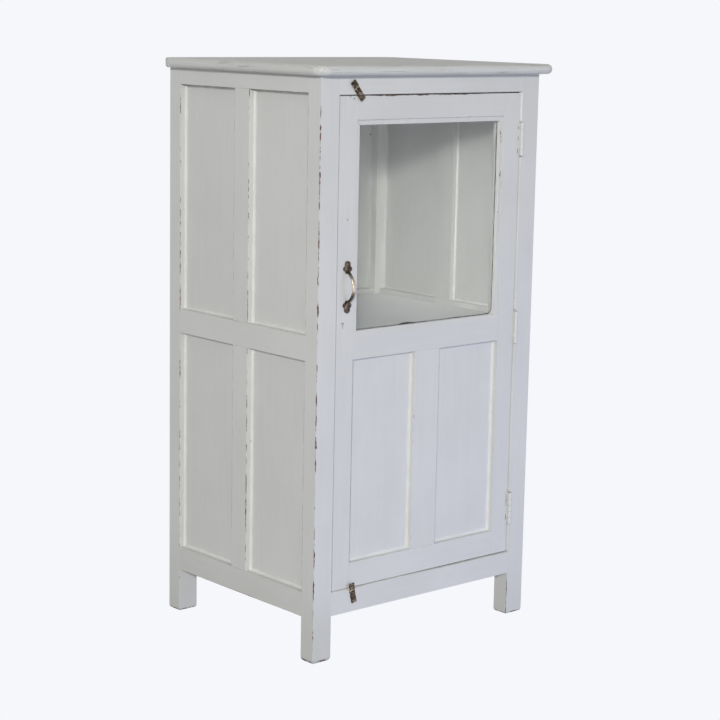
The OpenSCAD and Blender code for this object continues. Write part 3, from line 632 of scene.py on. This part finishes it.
def cove_frame(name, body, rects, axis, value, sign, material, size):
    """Pooled paint round panel openings. Each rectangle is (u0, u1, z0, z1) on
    the plane where axis, 'x' or 'y', has the value. sign is its outward side."""
    bm = bmesh.new()

    def at(u, z):
        return (value, u, z) if axis == "x" else (u, value, z)

    out = (sign, 0, 0) if axis == "x" else (0, sign, 0)
    side = (0, 1, 0) if axis == "x" else (1, 0, 0)
    back = tuple(-c for c in side)
    for j, (u0, u1, z0, z1) in enumerate(rects):
        edges = (((u0, z0), (u0, z1), side), ((u1, z0), (u1, z1), back),
                 ((u0, z0), (u1, z0), (0, 0, 1)), ((u0, z1), (u1, z1), (0, 0, -1)))
        for k, (a, b, inward) in enumerate(edges):
            cove_strip(bm, at(*a), at(*b), inward, out, *size,
                       seed=j * 5.3 + k * 1.9 + value * 31)
    solid(name, bm, body, material, 50)


def cove_pair(name, body, rects, axis, outer, inner, names=("outer", "inner")):
    """The pooled paint on both faces of a wall. outer and inner are the values
    of its two faces, and the outer one looks away from the cupboard."""
    sign = 1 if outer > inner else -1
    cove_frame(f"{name}_{names[0]}_coves", body, rects, axis, outer, sign, caulk,
               OUTER_COVE)
    cove_frame(f"{name}_{names[1]}_coves", body, rects, axis, inner, -sign,
               inner_caulk, INNER_COVE)


caulk = caulk_paint("pooled_paint")
inner_caulk = caulk_paint("pooled_paint_inside", 0.86)
for side in ("left", "right"):
    rear_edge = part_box("post_rear_" + side)[0].y
    front_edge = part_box("post_front_" + side)[1].y
    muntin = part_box(side + "_muntins")
    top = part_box(side + "_top_rail")
    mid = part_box(side + "_mid_rail")
    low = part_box(side + "_bottom_rail")
    faces = [corner.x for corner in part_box(side + "_upper_panels")]
    if side == "right":
        faces.reverse()
    cove_pair(side, "cabinet", [
        (u0, u1, z0, z1)
        for u0, u1 in ((front_edge, muntin[0].y), (muntin[1].y, rear_edge))
        for z0, z1 in ((low[1].z, mid[0].z), (mid[1].z, top[0].z))], "x", *faces)

left_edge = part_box("post_rear_left")[1].x
right_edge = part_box("post_rear_right")[0].x
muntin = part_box("rear_muntins")
rear_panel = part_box("rear_upper_panels")
top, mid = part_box("rear_top_rail"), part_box("rear_mid_rail")
cove_pair("rear", "cabinet", [
    (u0, u1, z0, z1)
    for u0, u1 in ((left_edge, muntin[0].x), (muntin[1].x, right_edge))
    for z0, z1 in ((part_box("rear_bottom_rail")[1].z, mid[0].z),
                   (mid[1].z, top[0].z))], "y", rear_panel[1].y, rear_panel[0].y)

door_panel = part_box("door_left_panel")
door_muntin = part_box("door_muntin")
lock_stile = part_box("door_lock_stile")
hinge_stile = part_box("door_hinge_stile")
door_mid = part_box("door_mid_rail")
door_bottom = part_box("door_bottom_rail")
door_openings = ((lock_stile[1].x, door_muntin[0].x),
                 (door_muntin[1].x, hinge_stile[0].x))
cove_pair("door", "door", [(u0, u1, door_bottom[1].z, door_mid[0].z)
                           for u0, u1 in door_openings],
          "y", door_panel[0].y, door_panel[1].y, ("front", "back"))


# The putty that holds the pane: a ragged fillet down the right side of the
# glass, round the lower right corner and along the bottom.
BEAD_WIDTH = 10 * MM
PUTTY_TURN = 17 * MM               # radius of the fillet in the lower corner
PUTTY_REACH = 0.3 * MM             # how far it goes over the sight line
bead_low, bead_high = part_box("front_glazing_beads")
sight_left, sight_right = bead_low.x + BEAD_WIDTH, bead_high.x - BEAD_WIDTH
sight_low, sight_high = bead_low.z + BEAD_WIDTH, bead_high.z - BEAD_WIDTH
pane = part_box("door_glass")[0].y
crack_from, crack_to = sight_left + 130 * MM, sight_left + 190 * MM


def putty_path():
    """Points down the right side, round the corner and along the bottom, each
    with the way out towards the bead."""
    down, corner, across = 74, 10, 69
    centre = Vector((sight_right - PUTTY_TURN, 0, sight_low + PUTTY_TURN))
    points = []
    for k in range(down + 1):
        z = sight_high - (sight_high - centre.z) * k / down
        points.append((Vector((sight_right, 0, z)), Vector((1, 0, 0))))
    for k in range(1, corner):
        a = math.pi / 2 * k / corner
        out = Vector((math.cos(a), 0, -math.sin(a)))
        points.append((centre + out * PUTTY_TURN, out))
    for k in range(across + 1):
        x = centre.x - (centre.x - sight_left) * k / across
        points.append((Vector((x, 0, sight_low)), Vector((0, 0, -1))))
    return points


def at_depth(point, y):
    return Vector((point.x, y, point.z))


def putty_rings():
    """Rings of the putty's body and of the dark line on its inner side."""
    body, line = [], []
    for point, out in putty_path():
        upright = out.x > 0.99
        cracked = not upright and crack_from < point.x < crack_to
        rag = wobble(point, 45, 3.1) * 0.6 + wobble(point, 210, 8.8) * 0.4
        height = (point.z - sight_low) / (sight_high - sight_low)
        w = (1.5 - height if upright else 1.2) * MM * (1 + 0.6 * rag)
        h = (3.4 if upright else 1.8) * MM * (1 + 0.2 * wobble(point, 90, 5.5))
        if cracked:
            w, h = 0.5 * MM, 0.5 * MM
        inner = point - out * w
        # the outer side meets the bead's straight edges
        x = sight_right + PUTTY_REACH * out.x if abs(out.x) > 0.01 else point.x
        z = sight_low + PUTTY_REACH * out.z if abs(out.z) > 0.01 else point.z
        outer = Vector((x, 0, z))
        middle = inner.lerp(outer, 0.45)
        body.append([at_depth(point, pane + y) for point, y in (
            (inner, 0.2 * MM), (inner, -0.35 * MM), (middle, -h * 0.62),
            (outer, -h), (outer, 0.2 * MM))])
        thick = MM * max(0.4, (0.9 + height if upright else 0.7)
                         + wobble(point, 62, 17.3))
        if cracked:
            share = (point.x - crack_from) / (crack_to - crack_from)
            thick = MM * (1.2 + 3.4 * math.sin(math.pi * share ** 0.7))
        rim = inner - out * thick
        tuck = inner + out * 0.3 * MM
        line.append([at_depth(point, pane + y) for point, y in (
            (rim, 0.15 * MM), (rim, -0.15 * MM), (inner, -0.5 * MM),
            (tuck, -0.5 * MM), (tuck, 0.15 * MM))])
    return body, line


def smear_rings():
    """Old putty smeared over the face of the right bead, ragged on its outside."""
    rings = []
    low_end = sight_low + 0.30 * (sight_high - sight_low)
    high_end = sight_high - 3 * MM
    face = bead_low.y
    count = 60
    for k in range(count + 1):
        z = low_end + (high_end - low_end) * k / count
        p = (sight_right, 0, z)
        taper = min(1.0, k / 12)       # it starts thin at its low end
        x0 = sight_right + 0.15 * MM
        x1 = x0 + MM * max(0.8, taper * (6.4 + 1.8 * wobble(p, 70, 12.2)
                                         + 1.2 * wobble(p, 240, 1.4)))
        swell = 0.35 * MM * (1 + 0.6 * wobble(p, 160, 5.1))
        rings.append([Vector((x, face + v, z)) for x, v in (
            (x0, 0.3 * MM), (x0, -0.1 * MM), (x0 + (x1 - x0) * 0.35, -swell),
            (x0 + (x1 - x0) * 0.75, -swell * 0.8), (x1, -0.04 * MM), (x1, 0.3 * MM))])
    return rings


swept("smeared_putty", smear_rings(), "door",
      putty("smeared_putty", (0.66, 0.66, 0.615), (0.13, 0.115, 0.095), 0.545))
body_rings, line_rings = putty_rings()
swept("glazing_putty", body_rings, "door",
      putty("aged_putty", (0.62, 0.625, 0.59), (0.20, 0.18, 0.15), 0.60))
swept("glazing_grime", line_rings, "door",
      putty("dark_putty", (0.060, 0.056, 0.050), (0.30, 0.30, 0.27), 0.55))


def open_joints(name, body, spans, height, face, axis, proud=0.0):
    """A thin open joint along the top of each panel where it goes up under the
    rail at that height, dark with dirt and with painted shade from the rail.
    face is where the panels' outside lies, looking to -X or -Y, and proud
    brings the joint out over the pooled paint."""
    count = 26
    for number, (u0, u1) in enumerate(spans, 1):
        rings = []
        for k in range(count + 1):
            u = u0 + (u1 - u0) * k / count
            w = max(0.5, 1.1 + 0.6 * wobble((u, face, height), 70, 1.2 + number))
            ring = []
            for dz, dv in ((0.2, 0.3), (-w, 0.3), (-w, -0.12), (-w * 0.4, -0.35),
                           (0.2, -0.35)):
                v = face + dv * MM - (proud if dv < 0 else 0.0)
                z = height + dz * MM
                ring.append((v, u, z) if axis == "x" else (u, v, z))
            rings.append(ring)
        swept(f"{name}_{number}", rings, body, joint_dirt_and_shade)


joint_dirt_and_shade = putty("joint_dirt_and_shade", (0.165, 0.130, 0.110), (0.36, 0.34, 0.31), 0.52)
open_joints("door_panel_joint", "door", door_openings, door_mid[0].z,
            door_panel[0].y, "y")
left_panel_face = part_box("left_upper_panels")[0].x
open_joints("left_panel_joint", "cabinet",
            ((post_high.y, side_muntin[0].y), (side_muntin[1].y, rear_post[0].y)),
            top_side[0].z, left_panel_face, "x",
            left_panel_face - top_side[0].x - 1.2 * MM)


# Paint that has built up on the post's arris down the hinge gap, between the
# hinges, and dirt with painted shade in the slots beside the barrels.
BARREL = 76 * MM
BARREL_CLEAR = 2.5 * MM
gap_post = right_post[0]
leaf_low, leaf_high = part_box("hinge_frame_leaves")
barrel_low = (leaf_low.z, (leaf_low.z + leaf_high.z) / 2 - BARREL / 2,
              leaf_high.z - BARREL)
ends = [door_bottom[0].z + 1 * MM]
for z in barrel_low:
    ends += [z - BARREL_CLEAR, z + BARREL + BARREL_CLEAR]
ends.append(door_top_rail[1].z + 1.5 * MM)
gap_spans = list(zip(ends[::2], ends[1::2]))


def gap_paint(z0, z1, wide):
    """Rings of the ridge of paint between two heights of the hinge gap."""
    rings = []
    count = max(3, round((z1 - z0) / (9 * MM)))
    x, y = gap_post.x, gap_post.y
    for k in range(count + 1):
        z = z0 + (z1 - z0) * k / count
        b = 0.35 * MM * wobble((0, 0, z), 55, 4.4)
        shape = ((0.25 * MM, 0.5 * MM), (-0.2 * MM + b * 0.2, 0.9 * MM),
                 (-1.8 * MM * wide + b, 2.6 * MM), (-3.2 * MM * wide + b, 5.6 * MM),
                 (-3.5 * MM * wide + b, 9.0 * MM), (0.25 * MM, 9.0 * MM))
        rings.append([Vector((x + u, y + v, z)) for u, v in shape])
    return rings


def sill_paint():
    """Paint built up on the bottom rail's top edge, under the door."""
    rings = []
    start, end = post_high.x + 0.3 * MM, gap_post.x - 4.2 * MM
    count = 60
    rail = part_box("front_bottom_rail")
    y, z = rail[0].y, rail[1].z
    for k in range(count + 1):
        x = start + (end - start) * k / count
        b = 0.3 * MM * wobble((x, 0, 0), 50, 7.7)
        # it is thinner on the hinge side
        dip = 1.1 * MM * min(max((x + 0.06) / 0.12, 0.0), 1.0)
        shape = ((0.5 * MM, -0.25 * MM), (0.9 * MM, 0.2 * MM),
                 (2.4 * MM, 1.3 * MM + b - dip * 0.6), (5.0 * MM, 2.0 * MM + b - dip),
                 (9.0 * MM, 2.1 * MM + b - dip), (9.0 * MM, -0.25 * MM))
        rings.append([Vector((x, y + u, z + v)) for u, v in shape])
    return rings


swept("sill_gap_paint", sill_paint(), "cabinet", caulk)


def step_paint():
    """Paint that fills the step between the mid rail and the bead over it."""
    rings = []
    face, step = lock_stile[0].y, bead_low.y - lock_stile[0].y
    start, end = lock_stile[1].x - 0.2 * MM, hinge_stile[0].x + 0.2 * MM
    count = 48
    for k in range(count + 1):
        x = start + (end - start) * k / count
        b = 1 + 0.12 * wobble((x, 0, 0), 40, 3.3)
        shape = ((-1.6 * MM, 0.3 * MM), (-1.6 * MM, -0.02 * MM),
                 (0.3 * MM, -0.06 * MM), (2.6 * MM, step * 0.20 * b),
                 (6.0 * MM, step * 0.66 * b), (9.2 * MM, step - 0.05 * MM),
                 (9.2 * MM, step + 0.4 * MM), (0.3 * MM, step + 0.4 * MM))
        rings.append([Vector((x, face + v, door_mid[1].z + u)) for u, v in shape])
    return rings


swept("bead_step_paint", step_paint(), "door",
      painted("paint_bead_step", "x", 0.95, offset=6.4, rubbed=False))

# the thinner gap paint is made a little darker, as painted shade on a face that looks into
# the key lamp
thin_shaded_caulk = caulk_paint("thin_shaded_pooled_paint", 0.95)
for number, (z0, z1) in enumerate(gap_spans, 1):
    # the paint is thickest over the upper hinge
    wide, material = (1.06, caulk) if number == len(gap_spans) else (0.6, thin_shaded_caulk)
    swept(f"hinge_gap_paint_{number}", gap_paint(z0, z1, wide), "cabinet", material)


def slot_dirt_and_shade(name, body, x, y, low_z, shares):
    """Thin dark slivers of dirt and painted shade on a flat face that looks to the
    front, beside the hinge barrel that starts at low_z. shares are parts of its length."""
    bm = bmesh.new()
    steps = 8
    for share_low, share_high in shares:
        z0, z1 = low_z + BARREL * share_low, low_z + BARREL * share_high
        rings = []
        for k in range(steps + 1):
            t = k / steps
            w = 0.7 * MM * (0.25 + 0.75 * math.sin(math.pi * t)) * (
                1 + 0.3 * wobble((x, y, z0 + t), 50, 6.1))
            rings.append([(x + u, y + v, z0 + (z1 - z0) * t) for u, v in (
                (-w, 0.3 * MM), (-w, -0.1 * MM), (0, -0.3 * MM), (w, -0.1 * MM),
                (w, 0.3 * MM))])
        skin(bm, rings)
    solid(name, bm, body, grime_and_shade)


grime_and_shade = putty("slot_grime_and_shade", (0.075, 0.065, 0.060), (0.20, 0.19, 0.17), 0.55)
beside_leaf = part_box("hinge_door_leaves")[0].x - 0.9 * MM
slot_dirt_and_shade("upper_hinge_dirt_and_shade", "door", beside_leaf, hinge_stile[0].y, barrel_low[2],
          ((0.79, 0.90), (0.45, 0.60), (0.06, 0.24)))
slot_dirt_and_shade("lower_hinge_dirt_and_shade", "door", beside_leaf, hinge_stile[0].y, barrel_low[0],
          ((0.55, 0.93), (0.10, 0.30)))
slot_dirt_and_shade("middle_hinge_dirt_and_shade", "cabinet", leaf_high.x + 0.9 * MM, gap_post.y,
          barrel_low[1], ((0.60, 0.84), (0.18, 0.46)))


def nail(bm, centre, radius, rise):
    """A low domed nail head that looks to the front, its base sunk a little."""
    turns, rows = 12, 4
    centre, front_way = Vector(centre), Vector((0, -1, 0))
    a = front_way.orthogonal().normalized()
    b = front_way.cross(a)

    def ring(width, out):
        return [bm.verts.new(centre + front_way * out
                             + (a * math.cos(t) + b * math.sin(t)) * width)
                for t in (2 * math.pi * i / turns for i in range(turns))]

    base = last = ring(radius, -0.3 * MM)
    for row in range(rows):
        q = math.pi / 2 * row / rows
        new = ring(radius * math.cos(q), rise * math.sin(q))
        for i in range(turns):
            j = (i + 1) % turns
            bm.faces.new((last[i], last[j], new[j], new[i]))
        last = new
    tip = bm.verts.new(centre + front_way * rise)
    for i in range(turns):
        bm.faces.new((last[i], last[(i + 1) % turns], tip))
    bm.faces.new(list(reversed(base)))


def nails(name, body, spots):
    bm = bmesh.new()
    for spot in spots:
        nail(bm, *spot)
    solid(name, bm, body, nail_rust, 55)


nail_rust = steel("nail_rust", (0.10, 0.07, 0.06), 0.8)
stile_left, stile_top = lock_stile[0].x, door_top_rail[1].z
front = door_top_rail[0].y
nails("door_nails", "door", [
    ((stile_left + 28.5 * MM, front, stile_top - 1.6 * MM), 1.3 * MM, 0.4 * MM),
    ((stile_left + 39.0 * MM, front, stile_top - 5.9 * MM), 1.5 * MM, 0.4 * MM),
    ((stile_left + 26.5 * MM, front, door_mid[1].z + 254 * MM), 1.5 * MM, 0.4 * MM)])
nails("back_nail", "cabinet", [
    ((right_edge - 5 * MM, rear_panel[0].y, sight_high - 63 * MM), 2.2 * MM,
     0.5 * MM)])


# ---------------------------------------------------------------- camera

# Where the photographer stood, in metres and radians: yaw is from +Y to +X.
CAMERA_PLACE = (-2.9175, -3.3485, 1.4078)
SENSOR_WIDTH, LENS = 36.0, 96.53   # millimetres
yaw, pitch, roll = 0.7199, -0.1780, 0.0193

camera_data = bpy.data.cameras.new("camera")
camera = bpy.data.objects.new("camera", camera_data)
scene.collection.objects.link(camera)
camera_data.sensor_width = SENSOR_WIDTH
camera_data.lens = LENS
camera_data.clip_start, camera_data.clip_end = 0.05, 200.0
ahead = Vector((math.sin(yaw) * math.cos(pitch), math.cos(yaw) * math.cos(pitch),
                math.sin(pitch)))
right = Vector((math.cos(yaw), -math.sin(yaw), 0.0))
up = right.cross(ahead)
right, up = (right * math.cos(roll) + up * math.sin(roll),
             up * math.cos(roll) - right * math.sin(roll))
turn = Matrix((right, up, -ahead)).transposed()
camera.matrix_world = Matrix.Translation(CAMERA_PLACE) @ turn.to_4x4()
scene.camera = camera


# ---------------------------------------------------------------- studio

FLOOR_RADIUS, WALL_CURVE, WALL_HEIGHT = 14.0, 4.0, 9.0


def stage_shell():
    """A pale round floor that curves up into a wall far behind everything."""
    profile = [(0.0, 0.0), (4.0, 0.0), (9.0, 0.0), (FLOOR_RADIUS, 0.0)]
    steps = 8
    for k in range(1, steps + 1):
        a = math.pi / 2 * k / steps
        profile.append((FLOOR_RADIUS + WALL_CURVE * math.sin(a),
                        WALL_CURVE * (1 - math.cos(a))))
    profile.append((FLOOR_RADIUS + WALL_CURVE, WALL_HEIGHT))
    bm = bmesh.new()
    turns = 64
    rings = []
    for r, z in profile:
        if r == 0:
            rings.append([bm.verts.new((0, 0, z))])
            continue
        rings.append([bm.verts.new((r * math.cos(2 * math.pi * i / turns),
                                    r * math.sin(2 * math.pi * i / turns), z))
                      for i in range(turns)])
    for i in range(turns):
        j = (i + 1) % turns
        bm.faces.new((rings[0][0], rings[1][i], rings[1][j]))
        for a, b in zip(rings[1:], rings[2:]):
            bm.faces.new((a[i], b[i], b[j], a[j]))
    mesh = bpy.data.meshes.new("studio_floor")
    bm.to_mesh(mesh)
    bm.free()
    for face in mesh.polygons:
        face.use_smooth = True
    ob = bpy.data.objects.new("studio_floor", mesh)
    scene.collection.objects.link(ob)
    g = Graph("studio_white")
    faint = g.noise(g.stretch((1, 1, 1)), 0.8, 2.0, 0.5)
    g.surface(Base_Color=(0.0, 0.0, 0.0), Roughness=1.0, Specular_IOR_Level=0.0,
              Emission_Color=g.blend(faint, (0.918, 0.927, 0.962),
                                     (0.924, 0.933, 0.968)), Emission_Strength=1.0)
    mesh.materials.append(g.material)
    ob.visible_diffuse = False
    ob.visible_shadow = False
    ob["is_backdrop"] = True


stage_shell()

# The air gives soft light all round, a little cooler and darker from below.
world = bpy.data.worlds.new("studio_air")
world.use_nodes = True
scene.world = world
tree = world.node_tree
tree.nodes.clear()
world_out = tree.nodes.new("ShaderNodeOutputWorld")
background = tree.nodes.new("ShaderNodeBackground")
where = tree.nodes.new("ShaderNodeTexCoord")
split = tree.nodes.new("ShaderNodeSeparateXYZ")
ramp = tree.nodes.new("ShaderNodeValToRGB")
height = tree.nodes.new("ShaderNodeMapRange")
tree.links.new(where.outputs["Generated"], split.inputs[0])
tree.links.new(split.outputs[2], height.inputs[0])
height.inputs["From Min"].default_value = -1.0
tree.links.new(height.outputs[0], ramp.inputs[0])
ramp.color_ramp.elements[0].position = 0.30
ramp.color_ramp.elements[0].color = (0.272, 0.276, 0.282, 1)
ramp.color_ramp.elements[1].position = 0.60
ramp.color_ramp.elements[1].color = (0.34, 0.34, 0.332, 1)
tree.links.new(ramp.outputs[0], background.inputs[0])
tree.links.new(background.outputs[0], world_out.inputs[0])


def lamp(name, azimuth, elevation, distance, size, power, colour,
         aim=(0, 0, 0.66)):
    """A soft square lamp. Azimuth 0 is in front of the door, negative is left."""
    data = bpy.data.lights.new(name, "AREA")
    data.shape = "RECTANGLE"
    data.size, data.size_y = size
    data.energy = power
    data.color = colour
    ob = bpy.data.objects.new(name, data)
    scene.collection.objects.link(ob)
    a, e = math.radians(azimuth), math.radians(elevation)
    back = Vector((math.sin(a) * math.cos(e), -math.cos(a) * math.cos(e), math.sin(e)))
    ob.location = Vector(aim) + back * distance
    ob.rotation_mode = "QUATERNION"
    ob.rotation_quaternion = back.to_track_quat("Z", "Y")
    ob.visible_camera = False


WARM_WHITE = (1.0, 0.99, 0.975)
lamp("key", -43.2, 16.2, 7.5, (0.6, 0.6), 294, (1.0, 0.995, 0.975))
lamp("fill", 18, 0, 1.7, (0.9, 0.5), 7.8, (0.50, 0.59, 1.0), (0, -0.25, 0.20))
lamp("rear", 168, 30, 4.0, (1.6, 1.6), 13, WARM_WHITE, (0, 0, 0.8))
lamp("side", 98, 15, 4.0, (1.6, 1.6), 14, WARM_WHITE, (0, 0, 0.7))

scene.view_settings.view_transform = "Standard"
scene.view_settings.look = "None"


# ---------------------------------------------------------------- sizes

low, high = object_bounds()
